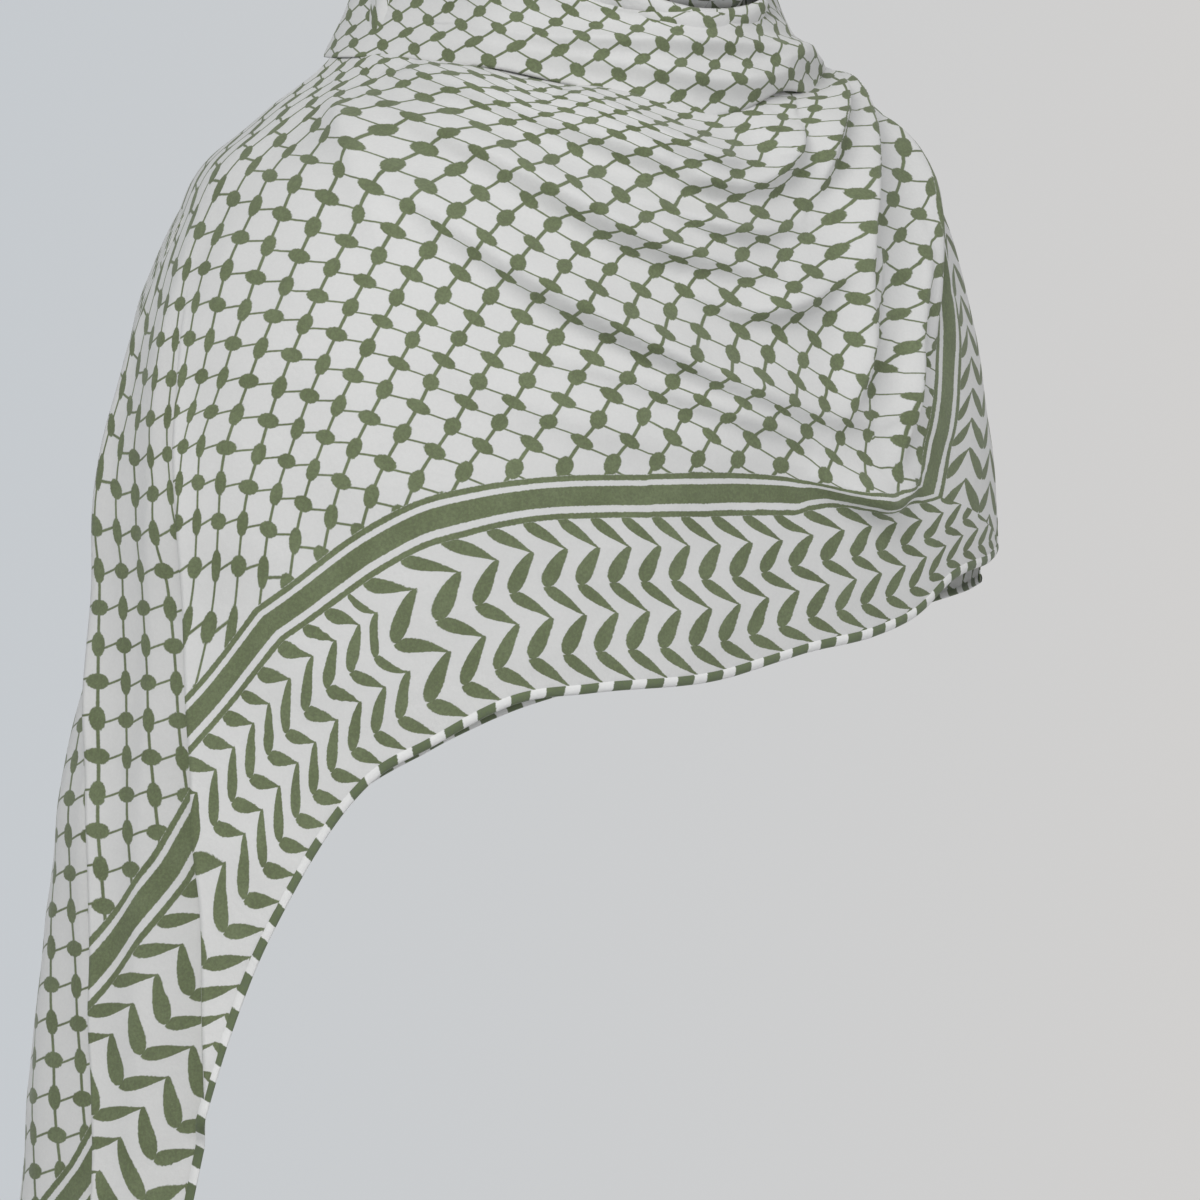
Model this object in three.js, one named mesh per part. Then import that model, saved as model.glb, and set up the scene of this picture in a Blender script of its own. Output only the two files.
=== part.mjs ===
// A worn chiffon hijab: one long rectangular scarf wound round the head, across the chest
// and over the left shoulder. Millimetres, +Z up, the wearer faces -Y and their left is +X.
// The origin is the crown, the point inside the top of the hood where the head carries it.
import * as THREE from "three";

const wall = 1.4; // thickness of one layer of cloth
const rolledHem = 2.4; // thickness of the narrow rolled hem
const hemWidth = 4.5; // its width
const seamGap = 0.3; // clearance between neighbouring stretches
const outerLift = 6; // how far the crossing end lies over the layer beneath it
const innerLift = -6; // how far the first pass under the chin lies inside
const yokeLevel = 6; // the ring at the base of the neck, where the upper stretches end

const seamAz = { chestToArm: -58, armToBack: -125, backEnd: -300, throatEnd: -415, chestToTail: 36 };
const columnsPerStretch = { chest: 20, arm: 13, back: 25, tail: 6, throat: 14 };
const upperRows = 10; // rows of facets from the face edge to the base of the neck
const lowerRows = 18; // and from there to the hem

const printGreen = 0x6f8658;
const voileWhite = 0xe9ebea;

function table(columns, rows) {
  return rows.map((row) => Object.fromEntries(columns.map((name, i) => [name, row[i]])));
}

// One row for each ring that the cloth passes, from the edge round the face to the lowest hem:
// where its front, back and side points lie, its half widths, and how square it is.
const ringColumns =
  ["frontY", "frontZ", "backY", "backZ", "right", "left", "sideY", "sideZ", "square"];
const rings = table(ringColumns, [
  [-94, -224, -90, -40, 66, 66, -62, -128, 2.3], // 0 face edge
  [-90, -232, -52, -7, 83, 83, -34, -126, 2.2], // 1 cheek
  [-84, -239, 4, 0.5, 90, 90, 4, -136, 2.1], // 2 ear and crown
  [-88, -246, 76, -32, 88, 100, 14, -176, 2.1], // 3 jaw
  [-92, -254, 112, -112, 88, 106, 12, -214, 2.1], // 4 back of the head
  [-98, -266, 102, -196, 98, 120, 8, -240, 2.1], // 5 nape
  [-106, -283, 97, -246, 122, 146, 6, -263, 2.2], // 6 base of the neck
  [-116, -308, 105, -280, 160, 178, 8, -286, 2.3], // 7 shoulder slope
  [-128, -342, 116, -318, 203, 194, 8, -318, 2.4], // 8 shoulder
  [-141, -390, 123, -374, 236, 208, 8, -378, 2.4], // 9 upper arm
  [-153, -450, 125, -446, 254, 214, 8, -448, 2.4], // 10 bust
  [-152, -525, 121, -525, 262, 216, 8, -525, 2.4], // 11 ribs
  [-144, -610, 114, -610, 274, 217, 10, -610, 2.4], // 12 waist
  [-142, -710, 120, -710, 286, 222, 10, -710, 2.4], // 13 hip
  [-145, -820, 128, -820, 297, 226, 10, -820, 2.4], // 14 thigh
  [-150, -940, 134, -940, 306, 230, 10, -940, 2.4], // 15 below the lowest hem
]);

// The long lower edge, by azimuth from the front, positive towards the wearer's left.
const lowerEdge = table(["az", "z"], [
  [60, -478], [44, -488], [30, -498], [22, -514], [14, -523], [2, -531], [-9, -543],
  [-24, -549], [-32, -554], [-40, -573], [-47, -593], [-54, -640], [-61, -712], [-66, -800],
  [-73, -866], [-82, -902], [-93, -914], [-104, -906], [-116, -864], [-128, -796],
  [-142, -714], [-156, -646], [-171, -598], [-190, -565], [-210, -545], [-235, -528], [-260, -515],
  [-280, -505], [-300, -498],
]);

// The short end, from below the left ear down the back of the shoulder to the free corner.
const shortEdge = table(["level", "az"], [
  [0, 84], [2, 84], [4, 91], [5, 96], [6, 96], [7, 89], [8, 78.5], [9, 68], [9.7, 61],
  [10.2, 56], [10.5, 53],
]);

// The largest folds, each along a path of four points on the rings. A positive height is a
// ridge, a negative one a trough.
const foldColumns =
  ["azA", "levelA", "azB", "levelB", "azC", "levelC", "azD", "levelD", "width", "height"];
const folds = table(foldColumns, [
  [-100, 5.6, -42, 5.5, -8, 6.1, 30, 5.0, 12, 5], // swag close under the chin
  [-80, 6.6, -40, 7.0, -12, 7.6, 30, 6.4, 14, 6], // second swag
  [-66, 7.5, -38, 8.2, -10, 8.8, 34, 7.8, 15, 6], // third swag
  [-58, 8.6, -32, 9.3, -4, 9.9, 34, 9.2, 18, 4], // fourth swag
  [58, 4.8, 46, 6.6, 38, 8.2, 34, 9.6, 12, 7], // gather below the ear, outer
  [44, 4.6, 30, 6.2, 20, 7.8, 14, 9.2, 12, 6], // gather below the ear, inner
  [74, 5.0, 66, 6.8, 58, 8.2, 50, 9.6, 12, 6], // roll over the left shoulder
  [-97, 8.4, -84, 10.2, -72, 11.6, -65, 13.6, 15, 8], // flute down the right arm
  [-112, 8.6, -101, 10.4, -90, 12.0, -80, 14.0, 16, 8], // second flute
  [-128, 8.4, -120, 10.2, -110, 11.8, -102, 13.4, 18, 9], // flute behind the arm
  [-150, 7.2, -148, 9.0, -145, 10.6, -142, 12.2, 20, 8], // back flutes
  [-172, 7.0, -172, 8.6, -171, 10.2, -170, 11.6, 19, 8],
  [-198, 7.2, -196, 8.8, -194, 10.2, -192, 11.2, 20, 9],
  [-222, 7.0, -220, 8.4, -217, 9.8, -214, 11.0, 18, 7],
  [-246, 7.2, -244, 8.6, -240, 9.8, -237, 10.9, 18, 7],
  [-120, 1.4, -112, 3.2, -104, 4.6, -98, 5.8, 12, 4], // right side of the hood
  [-150, 2.6, -138, 4.0, -128, 5.2, -118, 6.4, 14, 4],
  [-232, 1.4, -240, 3.0, -250, 4.6, -258, 5.8, 12, 4], // left side of the hood
  [-205, 2.8, -214, 4.0, -224, 5.2, -232, 6.4, 14, 4],
]);

const radians = THREE.MathUtils.degToRad;

// A smooth curve through four evenly spaced numbers, between the middle two.
function cubic(a, b, c, d, f) {
  const slopeB = (c - a) / 2;
  const slopeC = (d - b) / 2;
  const f2 = f * f;
  const f3 = f2 * f;
  return (2 * f3 - 3 * f2 + 1) * b + (f3 - 2 * f2 + f) * slopeB
    + (3 * f2 - 2 * f3) * c + (f3 - f2) * slopeC;
}

function ringAt(level) {
  const i = THREE.MathUtils.clamp(Math.floor(level), 0, rings.length - 2);
  const f = level - i;
  const b = rings[i];
  const c = rings[i + 1];
  const ring = {};
  for (const name of ringColumns) {
    const a = i > 0 ? rings[i - 1][name] : 2 * b[name] - c[name];
    const d = i + 2 < rings.length ? rings[i + 2][name] : 2 * c[name] - b[name];
    ring[name] = cubic(a, b[name], c[name], d, f);
  }
  return ring;
}

// Reads a table as a smooth function: the value of column y where column x is given.
function lookUp(rows, x, y, at) {
  const rising = rows[0][x] < rows[rows.length - 1][x] ? 1 : -1;
  let i = 0;
  while (i < rows.length - 2 && rising * rows[i + 1][x] < rising * at) i += 1;
  const [b, c] = [rows[i], rows[i + 1]];
  const a = rows[i - 1] ?? b;
  const d = rows[i + 2] ?? c;
  const span = c[x] - b[x];
  const slope = (p, q) => (q[x] === p[x] ? 0 : (q[y] - p[y]) / (q[x] - p[x]));
  const f = THREE.MathUtils.clamp((at - b[x]) / span, 0, 1);
  const [slopeB, slopeC] = [slope(a, c) * span, slope(b, d) * span];
  return cubic(c[y] - 2 * slopeB, b[y], c[y], b[y] + 2 * slopeC, f);
}

// The plain form without folds: a point on the ring at this level, at this azimuth.
function formPoint(az, level) {
  const ring = ringAt(level);
  const angle = radians(az);
  const c = Math.cos(angle);
  const s = Math.sin(angle);
  const reach = (Math.abs(c) ** ring.square + Math.abs(s) ** ring.square) ** (-1 / ring.square);
  const ahead = reach * c;
  const aside = reach * s;
  const bent = (front, back, side) =>
    side + ((front - back) / 2) * ahead + ((front + back) / 2 - side) * ahead * ahead;
  return new THREE.Vector3(
    aside * (aside < 0 ? ring.right : ring.left),
    bent(ring.frontY, ring.backY, ring.sideY),
    bent(ring.frontZ, ring.backZ, ring.sideZ),
  );
}

function normalOf(pointAt, az, level) {
  const [azStep, levelStep] = [0.5, 0.02];
  const round = pointAt(az + azStep, level).sub(pointAt(az - azStep, level));
  const down = pointAt(az, level + levelStep).sub(pointAt(az, Math.max(level - levelStep, 0)));
  return down.cross(round).normalize();
}

// The crossing end lies outside the layer that it covers, and the first pass inside.
function liftAt(az) {
  const crossing = THREE.MathUtils.smoothstep(az, -15, seamAz.chestToTail);
  const beneath = THREE.MathUtils.smoothstep(-az, -seamAz.backEnd - 15, -seamAz.backEnd + 15);
  return outerLift * crossing + innerLift * beneath;
}

const foldSteps = 12;
const foldPaths = folds.map((fold) => {
  const path = new THREE.CatmullRomCurve3([
    new THREE.Vector3(fold.azA, fold.levelA, 0),
    new THREE.Vector3(fold.azB, fold.levelB, 0),
    new THREE.Vector3(fold.azC, fold.levelC, 0),
    new THREE.Vector3(fold.azD, fold.levelD, 0),
  ]);
  return path.getPoints(foldSteps).map((p) => formPoint(p.x, p.y));
});

// How far the folds move the cloth out at a point of the plain form.
function foldHeight(point) {
  const nearest = new THREE.Vector3();
  let height = 0;
  folds.forEach((fold, k) => {
    let best = Infinity;
    let along = 0;
    for (let i = 0; i < foldSteps; i += 1) {
      const line = new THREE.Line3(foldPaths[k][i], foldPaths[k][i + 1]);
      const f = line.closestPointToPointParameter(point, true);
      const gap = line.at(f, nearest).distanceTo(point);
      if (gap < best) {
        best = gap;
        along = (i + f) / foldSteps;
      }
    }
    const fade = Math.sin(Math.PI * THREE.MathUtils.clamp(along, 0.04, 0.96)) ** 0.5;
    height += fold.height * fade * Math.exp(-((best / fold.width) ** 2));
  });
  return height;
}

function clothPoint(az, level) {
  const point = formPoint(az, level);
  const out = normalOf(formPoint, az, level);
  return point.addScaledVector(out, liftAt(az) + foldHeight(point));
}

function levelAtHeight(az, z) {
  let [low, high] = [yokeLevel, rings.length - 1];
  for (let i = 0; i < 24; i += 1) {
    const middle = (low + high) / 2;
    if (formPoint(az, middle).z > z) low = middle;
    else high = middle;
  }
  return (low + high) / 2;
}

const lowerEdgeLevel = (az) => levelAtHeight(az, lookUp(lowerEdge, "az", "z", az));
const mix = THREE.MathUtils.lerp;

// A grid of cloth points and their outward normals, row by row from the top. place(i, t) gives
// azimuth and level for column i, with t from 0 at the top to 1 at the bottom.
function clothGrid(columns, rows, place) {
  const grid = [];
  for (let j = 0; j <= rows; j += 1) {
    const row = [];
    for (let i = 0; i <= columns; i += 1) {
      const [az, level] = place(i, j / rows);
      row.push({ at: clothPoint(az, level), out: normalOf(formPoint, az, level) });
    }
    grid.push(row);
  }
  return grid;
}

const transposed = (grid) => grid[0].map((_, i) => grid.map((row) => row[i]));
const copied = (grid) => grid.map((row) => row.map(({ at, out }) => ({ at: at.clone(), out })));
const cut = (grid, from, to) => copied(grid.map((row) => row.slice(from, to + 1)));

// The edge row moved in along the cloth, square to the edge, by a distance. Its two ends move
// along the sides that meet there.
function movedIn(edge, next, distance) {
  const end = edge.length - 1;
  return edge.map(({ at, out }, i) => {
    const before = edge[Math.max(i - 1, 0)].at;
    const after = edge[Math.min(i + 1, end)].at;
    const along = after.clone().sub(before).normalize();
    const toNext = next[i].at.clone().sub(at);
    const square = toNext.clone().addScaledVector(along, -toNext.dot(along));
    const way = i === 0 || i === end ? toNext : square;
    return { at: at.clone().addScaledVector(way, distance / square.length()), out };
  });
}

// Takes a distance off each side that is named: top, bottom, first and last.
function trimmed(grid, { top = 0, bottom = 0, first = 0, last = 0 }) {
  const rows = copied(grid);
  const end = rows.length - 1;
  if (top) rows[0] = movedIn(rows[0], rows[1], top);
  if (bottom) rows[end] = movedIn(rows[end], rows[end - 1], bottom);
  const columns = transposed(rows);
  const side = columns.length - 1;
  if (first) columns[0] = movedIn(columns[0], columns[1], first);
  if (last) columns[side] = movedIn(columns[side], columns[side - 1], last);
  return transposed(columns);
}

// A closed wall of the given thickness about a grid of cloth points.
function wallGeometry(grid, thickness) {
  const rows = grid.length;
  const columns = grid[0].length;
  const positions = [];
  const index = [];
  for (const side of [0.5, -0.5]) {
    for (const { at, out } of grid.flat()) {
      positions.push(...at.clone().addScaledVector(out, side * thickness));
    }
  }
  const inner = rows * columns;
  const last = inner - columns;
  const quad = (a, b, c, d) => index.push(a, d, c, a, c, b);
  const rim = (a, b) => quad(a, b, inner + b, inner + a);
  for (let j = 0; j < rows - 1; j += 1) {
    for (let i = 0; i < columns - 1; i += 1) {
      const a = j * columns + i;
      const b = a + columns;
      quad(a, b, b + 1, a + 1);
      quad(inner + a, inner + a + 1, inner + b + 1, inner + b);
    }
  }
  for (let i = 0; i < columns - 1; i += 1) {
    rim(i, i + 1);
    rim(last + i + 1, last + i);
  }
  for (let j = 0; j < rows - 1; j += 1) {
    rim((j + 1) * columns, j * columns);
    rim((j + 1) * columns - 1, (j + 2) * columns - 1);
  }
  const geometry = new THREE.BufferGeometry();
  geometry.setAttribute("position", new THREE.Float32BufferAttribute(positions, 3));
  geometry.setIndex(index);
  geometry.computeVertexNormals();
  return geometry;
}

const hijab = new THREE.Group();

function addPiece(name, grid, thickness, color) {
  const material = new THREE.MeshStandardMaterial({ color, roughness: 0.85, metalness: 0 });
  const mesh = new THREE.Mesh(wallGeometry(grid, thickness), material);
  mesh.name = name;
  hijab.add(mesh);
}

const seam = seamGap / 2;
const hemSeam = hemWidth + seamGap;
const addCloth = (name, grid) => addPiece(name, grid, wall, voileWhite);
const addHem = (name, grid) => addPiece(name, grid, rolledHem, printGreen);
const hemBelow = (grid) => [movedIn(grid.at(-1), grid.at(-2), hemWidth), grid.at(-1)];
const hemAbove = (grid) => [grid[0], movedIn(grid[0], grid[1], hemWidth)];
const hemBeside = (grid) => transposed(hemAbove(transposed(grid)));

// The azimuth of each column of a sheet that runs through the given seams.
function azimuths(seams, columnCounts) {
  const list = [seams[0]];
  columnCounts.forEach((count, k) => {
    for (let i = 1; i <= count; i += 1) list.push(mix(seams[k], seams[k + 1], i / count));
  });
  return list;
}

const { chestToTail, chestToArm, armToBack, backEnd, throatEnd } = seamAz;
const { chest, arm, back, tail, throat } = columnsPerStretch;
const ends = { first: seam, last: seam };

// The upper sheet runs from the face edge to the base of the neck, right round the head and
// once more under the chin.
function addUpperStretches() {
  const counts = [chest, arm, back, throat];
  const az = azimuths([chestToTail, chestToArm, armToBack, backEnd, throatEnd], counts);
  const sheet = clothGrid(az.length - 1, upperRows, (i, t) => [az[i], yokeLevel * t]);
  const swag = cut(sheet, 0, chest);
  const hood = cut(sheet, chest, chest + arm + back);
  const wrap = cut(sheet, chest + arm + back, az.length - 1);
  addCloth("chin_swag", trimmed(swag, { ...ends, bottom: seam }));
  addCloth("hood", trimmed(hood, { ...ends, top: hemSeam, bottom: seam }));
  addHem("face_hem", trimmed(hemAbove(hood), ends));
  addCloth("throat_wrap", trimmed(wrap, { first: seam, top: hemSeam }));
  addHem("throat_hem", trimmed(hemAbove(wrap), { first: seam }));
}

// The lower sheet runs on from there to the long hem.
function addLowerStretches() {
  const az = azimuths([chestToTail, chestToArm, armToBack, backEnd], [chest, arm, back]);
  const hemLevels = az.map(lowerEdgeLevel);
  const place = (i, t) => [az[i], mix(yokeLevel, hemLevels[i], t)];
  const whole = clothGrid(az.length - 1, lowerRows, place);
  const sheet = trimmed(whole, { top: seam, bottom: hemSeam });
  const hem = hemBelow(whole);
  const stretches = [
    ["chest", 0, chest],
    ["arm", chest, chest + arm],
    ["back", chest + arm, chest + arm + back],
  ];
  const clothNames = { chest: "chest_panel", arm: "arm_drape", back: "back_drape" };
  for (const [name, from, to] of stretches) {
    const sides = { first: seam, last: name === "back" ? 0 : seam };
    addCloth(clothNames[name], trimmed(cut(sheet, from, to), sides));
    addHem(`${name}_hem`, trimmed(cut(hem, from, to), sides));
  }
}

// The crossing end: gathered below the left ear, then falling over the shoulder to its corner.
function addEndStretches() {
  const cornerLevel = lowerEdgeLevel(chestToTail);
  const place = (fromLevel, toLevel) => (i, t) => {
    const level = mix(fromLevel, toLevel, t);
    const az = mix(lookUp(shortEdge, "level", "az", level), chestToTail, i / tail);
    const rise = toLevel === cornerLevel ? lowerEdgeLevel(az) - cornerLevel : 0;
    return [az, level + rise * t * t];
  };
  const gather = clothGrid(tail, upperRows, place(0, yokeLevel));
  addCloth("ear_gather", trimmed(gather, { first: hemSeam, last: seam, bottom: seam }));
  addHem("gather_hem", hemBeside(trimmed(gather, { bottom: seam })));
  const fall = clothGrid(tail, lowerRows, place(yokeLevel, cornerLevel));
  const cornerHem = trimmed(hemBelow(fall), ends);
  addCloth("shoulder_tail", trimmed(fall, { top: seam, bottom: hemSeam, first: hemSeam, last: seam }));
  addHem("corner_hem", cornerHem);
  addHem("end_hem", hemBeside(trimmed(fall, { top: seam, bottom: hemSeam })));
}

addUpperStretches();
addLowerStretches();
addEndStretches();

export default hijab;
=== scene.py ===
import math
import time
import bpy
import numpy as np
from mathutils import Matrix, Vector


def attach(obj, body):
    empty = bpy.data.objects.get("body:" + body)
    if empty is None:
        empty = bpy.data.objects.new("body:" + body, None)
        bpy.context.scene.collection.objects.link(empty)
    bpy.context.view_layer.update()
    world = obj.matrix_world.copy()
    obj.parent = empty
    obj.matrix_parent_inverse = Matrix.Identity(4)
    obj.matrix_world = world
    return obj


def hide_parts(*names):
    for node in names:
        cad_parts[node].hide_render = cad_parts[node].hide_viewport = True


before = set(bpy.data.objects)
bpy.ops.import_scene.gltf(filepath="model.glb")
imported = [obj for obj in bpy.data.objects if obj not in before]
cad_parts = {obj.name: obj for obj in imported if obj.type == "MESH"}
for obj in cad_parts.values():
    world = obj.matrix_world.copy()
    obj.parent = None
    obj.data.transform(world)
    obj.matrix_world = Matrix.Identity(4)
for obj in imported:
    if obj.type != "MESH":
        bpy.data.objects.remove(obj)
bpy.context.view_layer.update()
degree = math.pi / 180
startTime = time.time()


def report(stage):
    print(f"hijab: {stage}, {time.time() - startTime:.0f} s")


report("frame loaded")

# the body form that the scarf lies on, ring by ring from the face edge down, in millimetres:
# front y and z, back y and z, width to the right and left, side y and z, and how square it is
rings = np.array([
    (-94, -224, -90, -40, 66, 66, -62, -128, 2.3),  # 0 face edge
    (-90, -232, -52, -7, 83, 83, -34, -126, 2.2),  # 1 cheek
    (-84, -239, 4, 0.5, 90, 90, 4, -136, 2.1),  # 2 ear and crown
    (-88, -246, 76, -32, 88, 100, 14, -176, 2.1),  # 3 jaw
    (-92, -254, 112, -112, 88, 106, 12, -214, 2.1),  # 4 back of the head
    (-98, -266, 102, -196, 98, 120, 8, -240, 2.1),  # 5 nape
    (-106, -283, 97, -246, 122, 146, 6, -263, 2.2),  # 6 base of the neck
    (-116, -308, 105, -280, 160, 178, 8, -286, 2.3),  # 7 shoulder slope
    (-128, -342, 116, -318, 203, 194, 8, -318, 2.4),  # 8 shoulder
    (-141, -390, 123, -374, 236, 208, 8, -378, 2.4),  # 9 upper arm
    (-153, -450, 125, -446, 254, 214, 8, -448, 2.4),  # 10 bust
    (-152, -525, 121, -525, 262, 216, 8, -525, 2.4),  # 11 ribs
    (-144, -610, 114, -610, 274, 217, 10, -610, 2.4),  # 12 waist
    (-142, -710, 120, -710, 286, 222, 10, -710, 2.4),  # 13 hip
    (-145, -820, 128, -820, 297, 226, 10, -820, 2.4),  # 14 thigh
    (-150, -940, 134, -940, 306, 230, 10, -940, 2.4),  # 15 below the lowest hem
])
rings[:, :8] /= 1000

# the long lower hem: azimuth from the front, positive to the wearer's left, and height
lowerHem = np.array([
    (60, -0.478), (44, -0.488), (30, -0.498), (22, -0.514), (14, -0.523), (2, -0.531),
    (-9, -0.543), (-24, -0.549), (-32, -0.554), (-40, -0.573), (-47, -0.593), (-54, -0.640),
    (-61, -0.712), (-66, -0.800), (-73, -0.866), (-82, -0.902), (-93, -0.914), (-104, -0.906),
    (-116, -0.864), (-128, -0.796), (-142, -0.714), (-156, -0.646), (-171, -0.598),
    (-190, -0.565), (-210, -0.545), (-235, -0.528), (-260, -0.515), (-280, -0.505), (-300, -0.498),
])

# the short end by level, from the side of the hood to the free corner
shortHem = np.array([
    (0, 84), (2, 84), (4, 91), (5, 96), (6, 96), (7, 89), (8, 78.5), (9, 68), (9.7, 61),
    (10.2, 56), (10.5, 53), (11, 50),
])

# where the printed band runs above the lower hem, by azimuth, and beside the short end, by level
bandAbove = np.array([
    (70, 9.5), (21.5, 10.05), (10, 10.07), (-12, 10.05), (-38, 10.08), (-44, 10.16), (-50.5, 10.34),
    (-60.5, 10.71), (-68, 10.95), (-72, 11.1), (-74, 11.75), (-81, 12.15), (-88, 12.5),
    (-90.5, 13.0), (-96, 13.4), (-104, 13.72), (-114, 13.5),
])
bandBeside = np.array([
    (4, 60), (5, 57), (6, 53), (7, 46), (7.9, 37.5), (8.6, 35.5), (9.26, 31), (9.8, 25),
    (10.1, 21.5), (10.6, 15), (11, 10),
])


def ringsAt(level):
    level = np.clip(level, 0, len(rings) - 1.001)
    i = np.floor(level).astype(int)
    f = (level - i)[..., None]
    below, here, above, further = (rings[np.clip(i + k, 0, len(rings) - 1)] for k in (-1, 0, 1, 2))
    slopeA = np.where((i == 0)[..., None], above - here, (above - below) / 2)
    slopeB = np.where((i == len(rings) - 2)[..., None], above - here, (further - here) / 2)
    return ((2 * f**3 - 3 * f**2 + 1) * here + (f**3 - 2 * f**2 + f) * slopeA
            + (3 * f**2 - 2 * f**3) * above + (f**3 - f**2) * slopeB)


def formPoint(az, level):
    az, level = np.broadcast_arrays(np.asarray(az, float), np.asarray(level, float))
    frontY, frontZ, backY, backZ, right, left, sideY, sideZ, square = np.moveaxis(ringsAt(level), -1, 0)
    c, s = np.cos(az * degree), np.sin(az * degree)
    reach = (np.abs(c) ** square + np.abs(s) ** square) ** (-1 / square)
    ahead, aside = reach * c, reach * s
    x = aside * np.where(aside < 0, right, left)
    y = sideY + (frontY - backY) / 2 * ahead + ((frontY + backY) / 2 - sideY) * ahead**2
    z = sideZ + (frontZ - backZ) / 2 * ahead + ((frontZ + backZ) / 2 - sideZ) * ahead**2
    return np.stack([x, y, z], -1)


azStep = 0.5      # half of the steps that slopes are measured over
levelStep = 0.02


def outward(az, level):
    around = formPoint(az + azStep, level) - formPoint(az - azStep, level)
    down = formPoint(az, level + levelStep) - formPoint(az, np.maximum(level - levelStep, 0))
    normal = np.cross(down, around)
    return normal / np.linalg.norm(normal, axis=-1, keepdims=True)


def smoothStep(x, low, high):
    t = np.clip((x - low) / (high - low), 0, 1)
    return t * t * (3 - 2 * t)


def smoothPath(points, count):
    # a curve through a few points
    p = np.asarray(points, float)
    p = np.vstack([2 * p[0] - p[1], p, 2 * p[-1] - p[-2]])
    t = np.linspace(0, len(p) - 3, count)
    i = np.minimum(t.astype(int), len(p) - 4)
    f = (t - i)[:, None]
    a, b, c, d = p[i], p[i + 1], p[i + 2], p[i + 3]
    return 0.5 * (2 * b + (c - a) * f + (2 * a - 5 * b + 4 * c - d) * f**2
                  + (3 * b - a - 3 * c + d) * f**3)


creases = dict(
    scale=1.15,         # on the heights given for each piece
    steps=14,           # straight parts of a crease's path
    reach=0.09,         # how far from its path a crease can still move the print
    tuckShare=0.62,     # cloth hidden on each side of a crease, for each metre of its height
    tuckReach=0.045,
    tuckEdge=0.0026,
)


def foldHeight(points, folds):
    # each fold: its path as azimuth and level pairs, then width, height and lean to one side
    # a tuck hides a little cloth at its line, so it also gives how far the print is shifted there
    flat = points.reshape(-1, 3)
    height = np.zeros(len(flat))
    shift = np.zeros((len(flat), 3))
    steps, reach = creases["steps"], creases["reach"]
    for path, width, depth, lean in folds:
        route = smoothPath(path, steps + 1)
        line = formPoint(route[:, 0], route[:, 1])
        side = np.cross(outward(route[:, 0], route[:, 1]), np.gradient(line, axis=0))
        side /= np.linalg.norm(side, axis=1, keepdims=True)
        near = np.all((flat > line.min(0) - reach) & (flat < line.max(0) + reach), axis=1)
        here = flat[near]
        best = np.full(len(here), 1e9)
        signed = np.zeros(len(here))
        along = np.zeros(len(here))
        across = np.zeros((len(here), 3))
        for k in range(steps):
            run = line[k + 1] - line[k]
            f = np.clip((here - line[k]) @ run / (run @ run), 0, 1)
            apart = here - line[k] - f[:, None] * run
            gap = np.einsum("ij,ij->i", apart, apart)
            closer = gap < best
            best[closer] = gap[closer]
            signed[closer] = (apart @ side[k])[closer]
            along[closer] = ((k + f) / steps)[closer]
            across[closer] = side[k]
        gap = np.sqrt(best) / width
        gap = gap * (1 + lean * np.sign(signed))
        fade = np.sin(math.pi * np.clip(along, 0.015, 0.985)) ** 0.6
        wobble = 1 + 0.18 * np.sin(9 * along + 40 * depth / width)
        height[near] += creases["scale"] * depth * fade * wobble * np.exp(-np.abs(gap) ** 1.7)
        steep = signed - np.sign(lean) * 0.7 * width / (1 + abs(lean))
        hidden = creases["tuckShare"] * depth * min(1, 2 * abs(lean)) * fade
        hidden = hidden * np.exp(-np.abs(steep) / creases["tuckReach"])
        shift[near] += (hidden * np.tanh(steep / creases["tuckEdge"]))[:, None] * across
    return height.reshape(points.shape[:-1]), shift.reshape(points.shape)


def shiftedPlace(az, level, shift):
    # the place whose print shows where the cloth has been shifted along itself
    around = (formPoint(az + azStep, level) - formPoint(az - azStep, level)).reshape(-1, 3)
    down = (formPoint(az, level + levelStep) - formPoint(az, level - levelStep)).reshape(-1, 3)
    down /= 2 * levelStep
    move = shift.reshape(-1, 3)
    aroundSquared, downSquared = (around * around).sum(1), (down * down).sum(1)
    both = (around * down).sum(1)
    moveAround, moveDown = (around * move).sum(1), (down * move).sum(1)
    free = np.maximum(aroundSquared * downSquared - both * both, 1e-12)
    turned = (downSquared * moveAround - both * moveDown) / free
    lowered = (aroundSquared * moveDown - both * moveAround) / free
    return az + turned.reshape(az.shape), level + lowered.reshape(az.shape)


def smoothRead(rows, at):
    # reads a two-column table with a soft bend at each row
    x, y = rows[:, 0], rows[:, 1]
    if x[0] > x[-1]:
        x, y = x[::-1], y[::-1]
    at = np.asarray(at, float)
    slope = np.gradient(y, x)
    i = np.clip(np.searchsorted(x, at) - 1, 0, len(x) - 2)
    span = x[i + 1] - x[i]
    f = np.clip((at - x[i]) / span, 0, 1)
    return ((2 * f**3 - 3 * f**2 + 1) * y[i] + (f**3 - 2 * f**2 + f) * slope[i] * span
            + (3 * f**2 - 2 * f**3) * y[i + 1] + (f**3 - f**2) * slope[i + 1] * span)


def levelAtHeight(az, z):
    low, high = np.full(np.shape(az), 6.0), np.full(np.shape(az), 14.99)
    for _ in range(26):
        middle = (low + high) / 2
        above = formPoint(az, middle)[..., 2] > z
        low, high = np.where(above, middle, low), np.where(above, high, middle)
    return (low + high) / 2


def hemLevel(az):
    return levelAtHeight(az, smoothRead(lowerHem, az))


def runOf(line):
    # length along a line of points, from its start
    return np.concatenate([[0], np.cumsum(np.linalg.norm(np.diff(line, axis=0), axis=1))])


def runAlong(az, level):
    return runOf(formPoint(az, level))


def runDown(points):
    # length down each column of a grid, from its first row
    steps = np.linalg.norm(np.diff(points, axis=1), axis=2)
    return np.concatenate([np.zeros((len(points), 1)), np.cumsum(steps, axis=1)], 1)


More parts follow.
